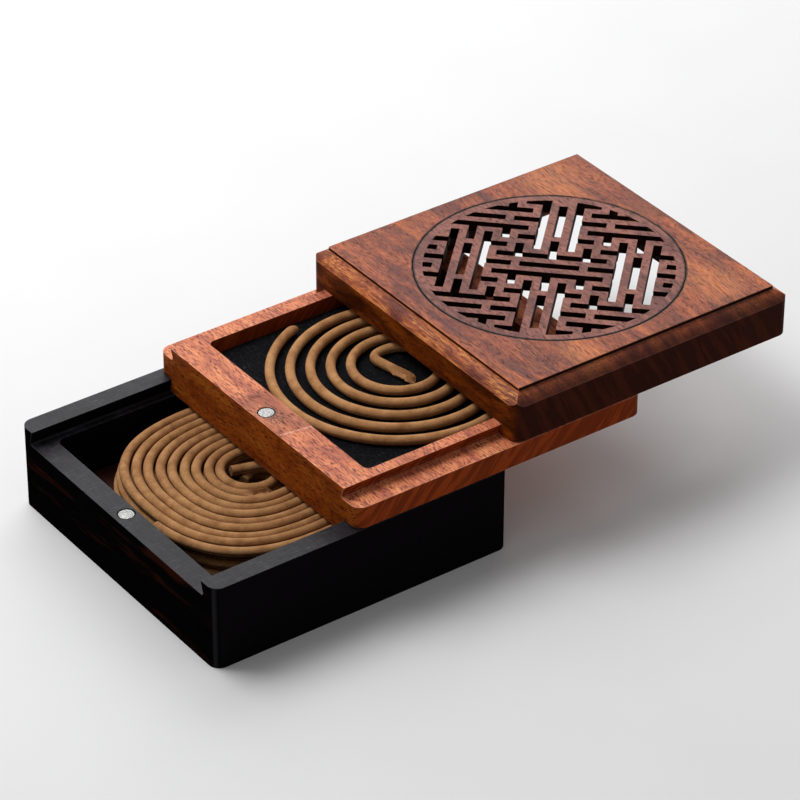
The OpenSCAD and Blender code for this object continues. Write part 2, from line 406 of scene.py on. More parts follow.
    def mix(self, below: object, above: object, *shares: object, blend: str = "MIX") -> Socket:
        """Lays one colour over another.

        Args:
            below: The lower colour.
            above: The upper colour.
            shares: How much of the upper colour shows, from 0 to 1; several are multiplied.
            blend: Blender's name for the way the two join.

        Returns:
            The colour.
        """
        inputs = {"Factor": self.times(*shares), 6: below, 7: above}
        return self.add("ShaderNodeMix", inputs, data_type="RGBA", blend_type=blend).outputs[2]

    def lay(self, above: object, *shares: object) -> None:
        """Lays another colour over the material's own, with the shares of mix."""
        self.colour = self.mix(self.colour, above, *shares)

    def tinted(self, shade_tint: Colour) -> Socket:
        """The material's own colour so far, multiplied by another."""
        return self.mix(self.colour, shade_tint, 1.0, blend="MULTIPLY")

    def relief(self, height: Socket, depth: float) -> None:
        """Gives the shader small bumps; depth is their height in millimetres."""
        bump = self.add("ShaderNodeBump", {"Strength": 1.0, "Distance": depth * MM, "Height": height})
        self.feed(self.shader.inputs["Normal"], bump.outputs["Normal"])

    def finish(self, roughness: object, **sockets: float) -> Material:
        """Feeds the shader with the colour that has been laid.

        Args:
            roughness: Roughness.
            sockets: Other inputs of the shader, with spaces written as underscores.

        Returns:
            The finished material.
        """
        self.feed(self.shader.inputs["Base Color"], self.colour)
        self.feed(self.shader.inputs["Roughness"], roughness)
        for name, value in sockets.items():
            self.feed(self.shader.inputs[name.replace("_", " ")], value)
        return self.material


# Finishes


@dataclass(frozen=True)
class Rosewood:
    """Waxed rosewood, with its figure, fibres, open pores and warm flecks, along Y.

    A seam, glow or shade is its place along X and Y and its radius, a groove or border its lowest and
    highest place along Z, and the rubbed magnet the place of its head, in millimetres. The seam and the
    groove take painted shade, and a glow, the border's crest and the rim by the magnet a painted highlight.
    The gloss is that of flat faces, edges and sides.
    """

    name: str
    deep: Colour
    middle: Colour
    pale: Colour
    pore: Colour
    fleck: Colour
    shaded_end_deep: Colour
    shaded_end_streak: Colour
    side_shade_tint: Colour = (0.6, 0.6, 0.25)
    highlight_gold: Colour = srgb(236, 160, 84)
    seam_shade: Colour = (0.006, 0.003, 0.003)
    wall_black: Colour = (0.006, 0.003, 0.0025)
    groove_shade: Colour = (0.012, 0.004, 0.002)
    gloss: Triple = (0.22, 0.3, 0.02)
    fleck_share: float = 0.5
    pore_share: float = 0.75
    side_bands: float = 0.0
    wander: float = 5.0
    ring_lean: float = 24.0
    ring_width: float = 1.9
    offset: float = 0.0
    dark_walls: bool = False
    groove: Pair | None = None
    border: Pair | None = None
    seam: Triple | None = None
    painted_glows: tuple[Triple, ...] = ()
    shades: tuple[Triple, ...] = ()
    rubbed_magnet: Triple | None = None

    def make(self, face: Face) -> Material:
        """Builds the material.

        Args:
            face: Which faces it is for: edges are rubbed paler with a painted highlight, and sides are less
                polished and darkened by painted shade.

        Returns:
            The material.
        """
        g = Graph(f"{self.name}_{face.value}")
        place = g.vector("ADD", g.place, tuple(self.offset * share * MM for share in (1.0, 0.7, 0.3)))
        bent = g.drift(g.drift(place, 38, (self.wander, 0, self.wander)), 9, (0.9, 0, 0.9))
        figure = g.pattern(bent, (9, 70, 9), 3, 0.55)
        rings = g.pattern(g.turned(bent, self.ring_lean), (self.ring_width, 80, 24), 2, 0.55)
        fibre = g.pattern(bent, (0.45, 7, 0.45), 4, 0.65)
        holes = g.ramp(g.pattern(bent, (0.36, 2.6, 0.36), 1, 0.4), 0.55, 0.62)
        cloud = g.pattern(bent, (7, 15, 7), 3, 0.55)
        tone = g.plus(g.times(figure, 0.5), g.times(rings, 0.5))
        across = g.facing("Y")

        g.colour = g.mix(self.deep, self.middle, g.ramp(tone, 0.36, 0.5))
        g.lay(self.pale, g.ramp(tone, 0.5, 0.62))
        g.lay(self.deep, g.ramp(cloud, 0.48, 0.66), 0.75)
        shine = g.times(g.ramp(fibre, 0.5, 0.66), g.ramp(cloud, 0.56, 0.38))
        g.lay(self.fleck, shine, self.fleck_share)
        g.lay(self.deep, g.ramp(fibre, 0.48, 0.34), 0.6)
        g.lay(self.pore, holes, self.pore_share)
        for shade in self.shades:
            g.lay(self.deep, g.near(*shade), 0.6)
        # Soft painted highlights on the lid's top, golden and broken by the fibres.
        for glow in self.painted_glows:
            g.lay(self.fleck, g.near(*glow), g.ramp(fibre, 0.34, 0.6), 0.62)
        if self.rubbed_magnet is not None:
            self.smudge(g)
        # Painted highlight along the crest of the lid's round border, broken up like golden flecks and kept
        # off faces turned along Y.
        if self.border is not None and face is not Face.SIDE:
            upright = g.ramp(across, 0.3, 0.1)
            painted_glint = g.times(g.within("Z", *self.border, 0.5), g.ramp(fibre, 0.48, 0.62), upright)
            g.lay(self.highlight_gold, painted_glint, g.ramp(cloud, 0.62, 0.36), 0.8)
        if self.seam is not None:
            # Painted shade along the gap round the grille, wider than the modelled gap.
            g.lay(self.seam_shade, self.seam_shade_line(g))

        # Faces turned along Y take end grain colours, darkened further by painted shade.
        ends = g.mix(self.shaded_end_deep, self.shaded_end_streak, g.ramp(rings, 0.47, 0.6))
        ends = g.mix(ends, self.shaded_end_deep, g.ramp(fibre, 0.5, 0.36), 0.5)
        if face is Face.SIDE:
            g.lay(g.tinted((0.25, 0.22, 0.3)), g.ramp(tone, 0.54, 0.46), self.side_bands)
            # Painted shade darkens the upright faces.
            g.colour = g.tinted(self.side_shade_tint)
            g.lay(ends, g.ramp(across, 0.35, 0.9))
            # The grille's upright faces, its slot walls among them, are laid nearly black.
            if self.dark_walls:
                g.lay(self.wall_black, 0.85)
            # Painted shade on the step between the lid's field and its border.
            if self.groove is not None:
                g.lay(self.groove_shade, g.within("Z", *self.groove, 0.08), 0.72)
        else:
            g.lay(ends, g.ramp(across, 0.15, 0.8), 0.6)
        if face is Face.EDGE:
            # Edges are worn paler and carry a painted highlight.
            patchy = g.ramp(g.pattern(place, (3, 5, 3)), 0.38, 0.62)
            g.lay(self.fleck, patchy, g.ramp(across, 0.9, 0.4), 0.5)
        g.relief(g.minus(g.times(fibre, 0.5), holes), 0.05)
        rough = g.plus(g.plus(0.4, g.times(fibre, 0.25)), g.times(holes, 0.2))
        return g.finish(rough, Specular_IOR_Level=dict(zip(Face, self.gloss))[face])

    def seam_shade_line(self, g: Graph) -> Socket:
        """One along the painted shade of the round gap between the grille and the lid, and zero elsewhere.
        """
        x, y, radius = self.seam
        away = g.distance((x, y, 0), (1.0, 1.0, 0.0))
        inside = g.step(away, radius - 0.72, radius - 0.52)
        outside = g.step(away, radius + 0.72, radius + 0.52)
        return g.times(inside, outside, 0.9)

    def smudge(self, g: Graph) -> None:
        """Marks the wood round the magnet: a rubbed stretch with a pale rim, which is a painted highlight
        along a slight step, and grey filings.

        Args:
            g: The material's nodes.
        """
        x, y, z = self.rubbed_magnet
        lean = 0.14
        along = g.plus(g.along("Y"), g.times(g.along("X"), lean))
        along = g.minus(along, (y + lean * x) * MM)
        top = g.times(g.step(g.along("Z"), z - 0.6, z - 0.3), g.within("X", x - 6, x + 8, 0.2))
        stretch = g.times(g.step(along, -14.4, -13.8), g.step(along, 12.6, 12.0))
        g.lay((0.16, 0.035, 0.014), stretch, top, 0.34)
        # The pale rim is a painted highlight along a slight step.
        rim = g.times(g.step(along, -15.4, -14.9), g.step(along, -14.1, -14.6))
        broken = g.ramp(g.pattern(g.place, (1.4, 3, 3), 3, 0.6), 0.42, 0.56)
        g.lay((0.78, 0.5, 0.4), rim, top, g.times(broken, 0.5))
        close = g.step(g.distance((x + 0.8, y - 3.6, z), (1.0, 0.6, 1.0)), 4.4, 1.8)
        filings = g.ramp(g.pattern(g.place, (0.7, 1.0, 0.7), 3, 0.6), 0.42, 0.58)
        g.lay((0.03, 0.017, 0.018), close, filings, 0.8)


@dataclass(frozen=True)
class Ebony:
    """Near-black wood with a grey sheen on its tops, painted into their colour besides their gloss, and
    dark red streaks in its sides.

    The floor of the store is redder. The gloss is that of flat faces, edges and sides.
    """

    black: Colour = (0.0016, 0.0012, 0.0014)
    fibres: Colour = (0.0045, 0.0036, 0.004)
    red: Colour = (0.03, 0.007, 0.003)
    top_dark: Colour = (0.004, 0.0035, 0.0045)
    top: Colour = (0.025, 0.0215, 0.029)
    scratched: Colour = (0.09, 0.088, 0.1)
    floor_dark: Colour = (0.02, 0.006, 0.004)
    floor_red: Colour = (0.06, 0.016, 0.009)
    end: Colour = (0.0052, 0.0042, 0.0052)
    corner: Colour = (0.02, 0.019, 0.022)
    rubbed: Colour = (0.06, 0.057, 0.062)
    gloss: Triple = (0.18, 0.3, 0.0)
    store_floor: float = 8.0

    def make(self, face: Face) -> Material:
        """Builds the material.

        Args:
            face: Which faces it is for: flat tops carry a painted sheen, edges are rubbed paler with a
                painted highlight, and sides are darker and less polished.

        Returns:
            The material.
        """
        g = Graph(f"ebony_{face.value}")
        bent = g.drift(g.place, 30, (5, 0, 5))
        fibre = g.pattern(bent, (0.35, 7, 0.35), 4, 0.65)
        scratch = g.pattern(g.drift(g.place, 14, (2, 2, 2)), (5, 0.3, 5), 3, 0.6)
        across = g.facing("Y")

        if face is Face.FLAT:
            # Painted sheen: flat tops are laid grey, far paler than the black sides.
            g.colour = g.mix(self.top_dark, self.top, g.ramp(fibre, 0.4, 0.62))
            g.lay(self.scratched, g.ramp(scratch, 0.56, 0.7), 0.65)
            cloud = g.pattern(g.place, (12, 16, 12), 3, 0.6)
            g.lay(g.tinted((0.6, 0.6, 0.62)), g.ramp(cloud, 0.4, 0.7))
            ground = g.mix(self.floor_dark, self.floor_red, g.ramp(fibre, 0.4, 0.65))
            g.lay(ground, g.step(g.along("Z"), self.store_floor + 6, self.store_floor + 2))
        else:
            g.colour = g.mix(self.black, self.fibres, g.ramp(fibre, 0.45, 0.7), 0.6)
            streak = g.pattern(bent, (9, 46, 5), 3, 0.6)
            g.lay(self.red, g.ramp(streak, 0.54, 0.68), g.times(g.ramp(across, 0.7, 0.3), 0.7))
        if face is Face.SIDE:
            # Faces turned along Y take the end colour: end grain, lightened as painted light.
            g.lay(self.end, g.ramp(across, 0.8, 0.95))
            # Painted highlight on the round upright corners.
            corner_highlight = g.times(g.ramp(g.facing("X"), 0.5, 0.8), g.ramp(across, 0.4, 0.6))
            g.lay(self.corner, corner_highlight, 0.8)
        if face is Face.EDGE:
            # Edges are worn paler and carry a painted highlight.
            g.lay(self.rubbed, g.ramp(g.pattern(g.place, (2, 4, 2)), 0.4, 0.62), 0.6)
        g.relief(g.plus(g.times(fibre, 0.6), g.times(scratch, 0.4)), 0.035)
        rough = g.plus(0.34, g.times(fibre, 0.3))
        return g.finish(rough, Specular_IOR_Level=dict(zip(Face, self.gloss))[face])


@dataclass(frozen=True)
class PressedPowder:
    """Incense stick: matte pressed wood powder, with specks, fibres, faint marks of the press and painted
    shade on its flanks.
    """

    name: str = "incense"
    body: Colour = srgb(166, 117, 73)
    pale: Colour = srgb(190, 140, 92)
    dark: Colour = srgb(112, 74, 44)
    flank_shade: Colour = srgb(58, 36, 20)
    shade_tint: float = 1.0
    flank_shade_share: float = 0.35

    def make(self) -> Material:
        """Builds the material.

        Returns:
            The material.
        """
        g = Graph(self.name)
        strand = g.add("ShaderNodeUVMap", {}).outputs["UV"]
        # The stick's own UV square is one metre wide to the pattern, with 14 by 90 steps in it.
        press = g.pattern(strand, (1000 / 14, 1000 / 90, 1000), 3, 0.6)
        patch = g.pattern(g.place, (5, 5, 5), 3, 0.55)
        grain = g.pattern(g.place, (0.55, 0.55, 0.55), 4, 0.7)
        speck = g.pattern(g.place, (0.3, 0.3, 0.3), 1)
        g.colour = g.mix(self.body, self.pale, g.ramp(patch, 0.35, 0.68))
        g.lay(self.dark, g.ramp(patch, 0.42, 0.28), 0.35)
        g.lay(self.dark, g.ramp(grain, 0.5, 0.32), 0.45)
        g.lay(self.pale, g.ramp(press, 0.56, 0.72), 0.3)
        g.lay(self.dark, g.ramp(speck, 0.64, 0.72), 0.55)
        # Painted shade: the whole colour is darkened by this factor for the spare coils in the box.
        g.colour = g.tinted((self.shade_tint, self.shade_tint, self.shade_tint))
        # Painted shade on the stick's flanks and underside.
        g.lay(self.flank_shade, g.ramp(g.facing("Z"), 0.45, 0.0), self.flank_shade_share)
        g.relief(g.plus(grain, g.times(press, 0.5)), 0.12)
        return g.finish(0.88, Specular_IOR_Level=0.2)


@dataclass(frozen=True)
class Felt:
    """Black fire-proof felt, with a soft nap, faint fibres and a few pale specks."""

    black: Colour = (0.002, 0.0021, 0.0028)
    grey: Colour = (0.034, 0.036, 0.044)
    lint: Colour = (0.1, 0.095, 0.1)

    def make(self) -> Material:
        """Builds the material.

        Returns:
            The material.
        """
        g = Graph("fireproof_felt")
        one = g.pattern(g.drift(g.place, 6, (5, 5, 1)), (0.22, 3.2, 0.4), 3, 0.7)
        other = g.pattern(g.drift(g.place, 5, (5, 5, 1)), (3.2, 0.22, 0.4), 3, 0.7)
        cloud = g.pattern(g.place, (9, 9, 9), 3, 0.6)
        specks = g.pattern(g.place, (0.5, 0.5, 0.5), 0)
        strands = g.calc("MAXIMUM", g.ramp(one, 0.54, 0.68), g.ramp(other, 0.56, 0.7))
        g.colour = g.mix(self.black, self.grey, strands, 0.85)
        g.lay(g.tinted((1.6, 1.6, 1.7)), g.ramp(cloud, 0.4, 0.7))
        g.lay(self.lint, g.ramp(specks, 0.79, 0.83), 0.4)
        g.relief(g.plus(strands, g.times(cloud, 0.8)), 0.22)
        return g.finish(0.97, Specular_IOR_Level=0.06, Sheen_Weight=0.012, Sheen_Roughness=0.6)


@dataclass(frozen=True)
class Nickel:
    """Nickel plate on a small magnet, slightly hammered."""

    bright: Colour = (0.36, 0.36, 0.35)
    dull: Colour = (0.2, 0.2, 0.195)

    def make(self) -> Material:
        """Builds the material.

        Returns:
            The material.
        """
        g = Graph("nickel_plate")
        haze = g.pattern(g.place, (0.5, 0.5, 0.5), 4, 0.6)
        g.relief(g.pattern(g.place, (1.1, 1.1, 1.1), 2), 0.45)
        g.colour = g.mix(self.bright, self.dull, g.ramp(haze, 0.35, 0.7))
        return g.finish(g.plus(0.3, g.times(haze, 0.25)), Metallic=1.0)


@dataclass(frozen=True)
class Glue:
    """Dark glue round a magnet."""

    dark: Colour = (0.003, 0.0022, 0.002)
    brown: Colour = (0.012, 0.008, 0.006)

    def make(self) -> Material:
        """Builds the material.

        Returns:
            The material.
        """
        g = Graph("glue")
        mottle = g.pattern(g.place, (0.6, 0.6, 0.6), 3, 0.6)
        g.relief(mottle, 0.06)
        g.colour = g.mix(self.dark, self.brown, g.ramp(mottle, 0.4, 0.65))
        return g.finish(g.plus(0.5, g.times(mottle, 0.3)), Specular_IOR_Level=0.15)


@dataclass(frozen=True)
class PaleBoard:
    """The plain pale board that the burner stands on."""

    dim: Colour = (0.76, 0.76, 0.77)
    pale: Colour = (0.8, 0.8, 0.8)

    def make(self) -> Material:
        """Builds the material.

        Returns:
            The material.
        """
        g = Graph("pale_board")
        g.colour = g.mix(self.dim, self.pale, g.pattern(g.place, (60, 60, 60)))
        return g.finish(0.75, Specular_IOR_Level=0.2)


class Finishes:
    """The materials that more than one piece uses."""

    def __init__(self) -> None:
        """Makes each shared material once."""
        self.incense = PressedPowder().make()
        # Spare coils in the box take a darker copy, with painted shade.
        self.shaded_stored_incense = PressedPowder(name="shaded_stored_incense", shade_tint=0.9, flank_shade_share=0.75).make()
        self.felt = Felt().make()
        self.nickel = Nickel().make()
        self.glue = Glue().make()


# Pieces


@dataclass
class WoodenPiece:
    """A tier of solid wood: the frame's own solid, with its edges eased, rubbed paler and given a painted
    highlight.
    """

    node: str
    tier: Tier
    slot: str
    finish: Rosewood | Ebony
    easing: float = 0.3
    eased_above: float = 28
    sharp_above: float = 40

    def build(self) -> Object:
        """Copies the solid, clears its flat faces of stray edges and eases its arrises.

        Returns:
            The piece.
        """
        piece = linked(self.node + "_eased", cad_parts[self.node].data.copy())
        piece.data.materials.clear()
        with editing(piece):
            bpy.ops.mesh.select_all(action="SELECT")
            bpy.ops.mesh.remove_doubles(threshold=0.002 * MM)
            bpy.ops.mesh.dissolve_limited(angle_limit=math.radians(0.4))
            bpy.ops.mesh.select_all(action="SELECT")
            bpy.ops.mesh.normals_make_consistent(inside=False)
        self.dress(piece)
        # The bevel faces take the edge finish: worn paler, with a painted highlight.
        rubbed = list(Face).index(Face.EDGE)
        ease(piece, self.easing, self.eased_above, use_clamp_overlap=True, material=rubbed)
        smooth(piece, self.sharp_above)
        modify(piece, "WEIGHTED_NORMAL", mode="FACE_AREA", weight=100, keep_sharp=True)
        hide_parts(self.node)
        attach(piece, self.tier.value)
        return piece

    def dress(self, piece: Object) -> None:
        """Gives the piece its wood: flat faces, the edges that the bevel cuts, and upright faces."""
        for face in Face:
            piece.data.materials.append(self.finish.make(face))
        with editing(piece, "FACE"):
            # Upright faces take the side finish, with its painted shade and highlights.
            mark(piece, "faces", lambda f: abs(f.normal.z) < 0.5)
            piece.active_material_index = list(Face).index(Face.SIDE)
            bpy.ops.object.material_slot_assign()


@dataclass
class Magnet:
    """A small disc magnet glued into its hole."""

    node: str
    tier: Tier
    finishes: Finishes
    faces_up: bool = True
    hole_radius: float = 3.16
    head_radius: float = 2.72
    sunk_glue: float = 0.5
    rim: float = 0.18
    crown: float = 0.04

    def build(self) -> Object:
        """Fills the hole with glue, draws the magnet's head out of it and chamfers its rim.

        Returns:
            The piece.
        """
        low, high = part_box(self.node)
        middle = (low + high) / 2
        side = 1 if self.faces_up else -1
        piece = primitive(
            self.node + "_glued",
            bpy.ops.mesh.primitive_cylinder_add,
            vertices=48,
            radius=self.hole_radius * MM,
            depth=high.z - low.z - self.sunk_glue * MM,
            location=(middle.x, middle.y, middle.z - side * self.sunk_glue * MM / 2),
        )
        piece.data.materials.append(self.finishes.glue)
        piece.data.materials.append(self.finishes.nickel)
        rise = side * (self.sunk_glue - self.crown) * MM
        with editing(piece, "FACE"):
            mark(piece, "faces", lambda f: f.normal.z * side > 0.9)
            bpy.ops.mesh.inset(thickness=(self.hole_radius - self.head_radius) * MM)
            piece.active_material_index = 1
            bpy.ops.object.material_slot_assign()
            bpy.ops.mesh.extrude_region_move(TRANSFORM_OT_translate={"value": (0, 0, rise)})
            bpy.ops.mesh.inset(thickness=self.rim * MM, depth=0.0)
            bpy.ops.transform.translate(value=(0, 0, side * self.crown * MM))
        smooth(piece, 40)
        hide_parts(self.node)
        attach(piece, self.tier.value)
        return piece


@dataclass
class FireproofMat:
    """The black felt pad in the tray's pocket."""

    material: Material
    corner: float = 2.2
    cells: int = 94
    rounding: float = 0.5
    nap: float = 0.384

    def build(self) -> Object:
        """Lays a fine sheet in the pocket, rounds its corners, thickens it and roughens its nap.

        Returns:
            The piece.
        """
        low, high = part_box("fireproof_mat")
        size = high - low
        piece = primitive(
            "felt_mat",
            bpy.ops.mesh.primitive_grid_add,
            x_subdivisions=self.cells,
            y_subdivisions=self.cells,
            size=size.x,
            location=((low.x + high.x) / 2, (low.y + high.y) / 2, high.z),
        )
        self.round_corners(piece)
        modify(piece, "SOLIDIFY", thickness=size.z, offset=-1.0)
        ease(piece, self.rounding, 60, use_clamp_overlap=False)
        weigh(piece, "nap", lambda p: (p.z - low.z) / size.z - 0.2)
        lumps(piece, "nap_waves", 9, 2, self.nap, direction="Z", mid_level=0.42, vertex_group="nap")
        smooth(piece, 60)
        piece.data.materials.append(self.material)
        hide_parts("fireproof_mat")
        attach(piece, Tier.TRAY.value)
        return piece

    def round_corners(self, piece: Object) -> None:
        """Pulls the sheet's four corners in to a small radius.

        Args:
            piece: The flat sheet.
        """
        low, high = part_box("fireproof_mat")
        radius = self.corner * MM
        for vertex in piece.data.vertices:
            x = min(max(vertex.co.x, low.x + radius), high.x - radius)
            y = min(max(vertex.co.y, low.y + radius), high.y - radius)
            out = Vector((vertex.co.x - x, vertex.co.y - y))
            if out.x and out.y and out.length > radius:
                share = max(abs(out.x), abs(out.y)) / out.length
                vertex.co.x, vertex.co.y = x + out.x * share, y + out.y * share


@dataclass(frozen=True)
class Hook:
    """The tight bend and straight tip at the inner end of a coil."""

    radius: float
    turn: float
    tip: float


@dataclass(frozen=True)
class Winding:
    """A flat spiral that winds in, anticlockwise seen from above.

    Its outer turns may bulge into the corners of the store, slip to one side or lift at the front.
    """

    radius: float
    pitch: float
    turns: float
    start: float
    hook: Hook | None = None
    bulge: float = 0.0
    slip: Pair = (0.0, 0.0)
    lift: float = 0.0
    front: float = 245
    step: float = 2.5

    def points(self, turned: float = 0.0) -> list[Vector]:
        """Works out the centre line.

        Args:
            turned: How far the coil will be turned, so that its bulges still meet the corners of the store.

        Returns:
            Points of the spiral and then of its hook, about the coil's own middle.
        """
        count = round(self.turns * 360 / self.step)
        line = []
        for k in range(count + 1):
            t = self.turns * k / count
            outer = 1 - k / count
            angle = math.radians(self.start + 360 * t)
            corner = math.sin(2 * (angle + math.radians(turned))) ** 2
            front = max(0.0, math.cos(angle + math.radians(turned - self.front))) ** 2
            out = self.radius - self.pitch * t + self.bulge * outer * corner
            along = Vector((math.cos(angle), math.sin(angle), 0)) * out
            raised = Vector((0, 0, self.lift * front * min(1, 3 * outer)))
            line.append(along + Vector((*self.slip, 0)) * outer + raised)
        if self.hook is not None:
            line += self.bend(line[-1], self.start + 360 * self.turns + 90)
        return line

    def bend(self, end: Vector, heading: float) -> list[Vector]:
        """Carries the spiral on into its hook.

        Args:
            end: Where the spiral ends.
            heading: The direction in which it runs there.

        Returns:
            Points of the bend and of the straight tip.
        """
        first = math.radians(heading)
        centre = end + Vector((-math.sin(first), math.cos(first), 0)) * self.hook.radius
        count = max(6, round(self.hook.turn / 6))
        angles = [math.radians(heading - 90 + self.hook.turn * k / count) for k in range(1, count + 1)]
        line = [centre + Vector((math.cos(a), math.sin(a), 0)) * self.hook.radius for a in angles]
        last = math.radians(heading + self.hook.turn)
        along = Vector((math.cos(last), math.sin(last), 0))
        return line + [line[-1] + along * self.hook.tip * k / 8 for k in range(1, 9)]


@dataclass
class IncenseCoil:
    """One coil: a stick made straight, cut at its ends, and then wound."""

    node: str
    tier: Tier
    winding: Winding
    middle: Triple
    material: Material
    turned: float = 0.0
    start: End = End.SQUARE
    end: End = End.SQUARE
    diameter: float = 3.5
    sides: int = 20
    ring_gap: float = 1.3
    unevenness: float = 0.06
    crumbs: float = 1.5
    torn_reach: float = 4
    frayed_reach: float = 11

    def build(self) -> Object:
        """Makes the stick, its ends and its lumps, and winds it.

        Returns:
            The piece.
        """
        line = self.line()
        length = sum((b - a).length for a, b in zip(line, line[1:]))
        piece = self.straight_stick(length)
        self.cut(piece, self.start, 0.0, -1)
        self.cut(piece, self.end, length, 1)
        self.roughen(piece, length)
        self.wind(piece, line)
        smooth(piece, 62)
        piece.data.materials.append(self.material)
        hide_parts(self.node)
        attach(piece, self.tier.value)
        return piece

    def line(self) -> list[Vector]:
        """Centre line of the coil where it lies on the burner, in metres."""
        turn = Matrix.Rotation(math.radians(self.turned), 3, "Z")
        middle = Vector(self.middle)
        return [(middle + turn @ point) * MM for point in self.winding.points(self.turned)]

    def straight_stick(self, length: float) -> Object:
        """Adds a round stick along X and cuts it twice over into short rings.

        Args:
            length: Length of the stick in metres.

        Returns:
            The stick.
        """
        piece = primitive(
            self.node + "_wound",
            bpy.ops.mesh.primitive_cylinder_add,
            vertices=self.sides,
            radius=self.diameter / 2 * MM,
            depth=length,
            location=(length / 2, 0, 0),
            rotation=(0, math.pi / 2, 0),
        )
        cuts = round(math.sqrt(length / MM / self.ring_gap)) - 1
        with editing(piece, "EDGE"):
            for shortest in (length / 2, 0.1 * MM):
                bpy.ops.mesh.select_all(action="DESELECT")
                mark(piece, "edges", lambda e: abs(e.verts[0].co.x - e.verts[1].co.x) > shortest)
                bpy.ops.mesh.subdivide(number_cuts=cuts)
        return piece

    def cut(self, piece: Object, how: End, at: float, side: int) -> None:
        """Shapes one end of the straight stick.

        Args:
            piece: The stick.
            how: The kind of end.
            at: Where the end is along X, in metres.
            side: 1 for the far end and -1 for the near one.
        """
        radius = self.diameter / 2 * MM
        slants = {
            End.SQUARE: (1, 0.05, 0.12),
            End.SLANTED: (1, -side * 0.95, 0.2),
            End.TORN: (1, -0.35, 0.8),
        }
        normal = Vector(slants[how]).normalized() * side
        lean = math.hypot(normal.y, normal.z) / abs(normal.x)
        start = (at - side * lean * radius, 0, 0)
        with editing(piece, "FACE"):
            bpy.ops.mesh.select_all(action="SELECT")
            bpy.ops.mesh.bisect(plane_co=start, plane_no=normal, use_fill=True, clear_outer=True)
        with editing(piece, "FACE"):
            reach = at * side - 4 * radius
            if mark(piece, "faces", lambda f: len(f.verts) > 6 and f.calc_center_median().x * side > reach):
                bpy.ops.mesh.inset(thickness=0.22 * MM)
                bpy.ops.mesh.inset(thickness=0.3 * MM)
                bpy.ops.mesh.poke()

    def roughen(self, piece: Object, length: float) -> None:
        """Makes the stick slightly lumpy, and more so where it was torn.

        Args:
            piece: The straight stick.
            length: Its length in metres.
        """
        lumps(piece, self.node + "_lumps", 4.5, 2, self.unevenness, mid_level=0.5)
        torn = [at for how, at in ((self.start, 0.0), (self.end, length)) if how is End.TORN]
        if torn:
            self.fray(piece, torn)
            reach = self.torn_reach * MM
            weigh(piece, "torn", lambda p: max(1 - abs(p.x - at) / reach for at in torn))
            lumps(piece, self.node + "_crumbs", 0.9, 3, self.crumbs, mid_level=0.55, vertex_group="torn")

    def fray(self, piece: Object, torn: list[float]) -> None:
        """Splits a facet off one side of a torn end, and makes its edges ragged.

        Args:
            piece: The straight stick.
            torn: Where its torn ends are along X, in metres.
        """
        reach = self.frayed_reach * MM
        facet = -0.3 * self.diameter / 2 * MM
        grain = 1.2 * MM
        for vertex in piece.data.vertices:
            near = min(1.0, max(0.0, 4 * max(1 - abs(vertex.co.x - at) / reach for at in torn)))
            ragged = noise.noise(vertex.co / grain)
            if vertex.co.y < 0.15 * MM and vertex.co.z > facet:
                vertex.co.z -= near * (0.62 + 0.35 * ragged) * (vertex.co.z - facet)
            if vertex.co.y < 0:
                vertex.co.y *= 1 + near * (0.12 + 0.45 * ragged)

    def wind(self, piece: Object, line: list[Vector]) -> None:
        """Bends the stick along the coil's centre line.

        Args:
            piece: The straight stick.
            line: The centre line, in metres.
        """
        curve = bpy.data.curves.new(self.node + "_line", "CURVE")
        curve.dimensions = "3D"
        curve.twist_mode = "Z_UP"
        spline = curve.splines.new("POLY")
        spline.points.add(len(line) - 1)
        for point, place in zip(spline.points, line):
            point.co = (*place, 1.0)
        guide = linked(self.node + "_guide", curve)
        bpy.context.view_layer.update()
        modify(piece, "CURVE", object=guide, deform_axis="POS_X")
        bpy.data.objects.remove(guide)


# Sub-assemblies


@dataclass
class StorageBox:
    """The lower box, its magnet and the spare coils."""

    finishes: Finishes
    stick: float = 3.5
    lowest: float = 9.9
    middle: Pair = (-4.5, -1.2)
    pairs: int = 5
    twist: float = 47.0
    tucked: Winding = Winding(44.65, 7.6, 4 + (290 - 9) / 360, 9, Hook(5.5, 143, 4), bulge=3.0)
    hooked: Winding = replace(tucked, hook=Hook(5.5, 143, 9.3), lift=0.7)
    blunt: Winding = Winding(44.65, 7.6, 4 + (269 - 189) / 360, 189, bulge=3.0)

    def build(self) -> list[Object]:
        """Builds the box, its magnet and the coils in it.

        Returns:
            The pieces.
        """
        body = WoodenPiece("box_body", Tier.BOX, "ebony", Ebony(), 0.35).build()
        magnet = Magnet("box_magnet", Tier.BOX, self.finishes).build()
        return [body, magnet, *self.coils()]

    def coils(self) -> list[Object]:
        """Stacks the spare coils in pairs, each pair turned against the one above it.

        Returns:
            The coils.
        """
        made = []
        for pair in range(1, self.pairs + 1):
            inner = self.hooked if pair == self.pairs else self.tucked
            hidden = {"sides": 12, "ring_gap": 2.6} if pair < self.pairs - 1 else {}
            for letter, winding, end in (("a", inner, End.SQUARE), ("b", self.blunt, End.TORN)):
                coil = IncenseCoil(
                    node=f"stored_coil_{pair}{letter}",
                    tier=Tier.BOX,
                    winding=winding,
                    middle=(*self.middle, self.lowest + (pair - 1) * self.stick),
                    material=self.finishes.shaded_stored_incense,
                    turned=(self.pairs - pair) * self.twist,
                    end=end,
                    diameter=self.stick,
                    **hidden,
                )
                made.append(coil.build())
        return made


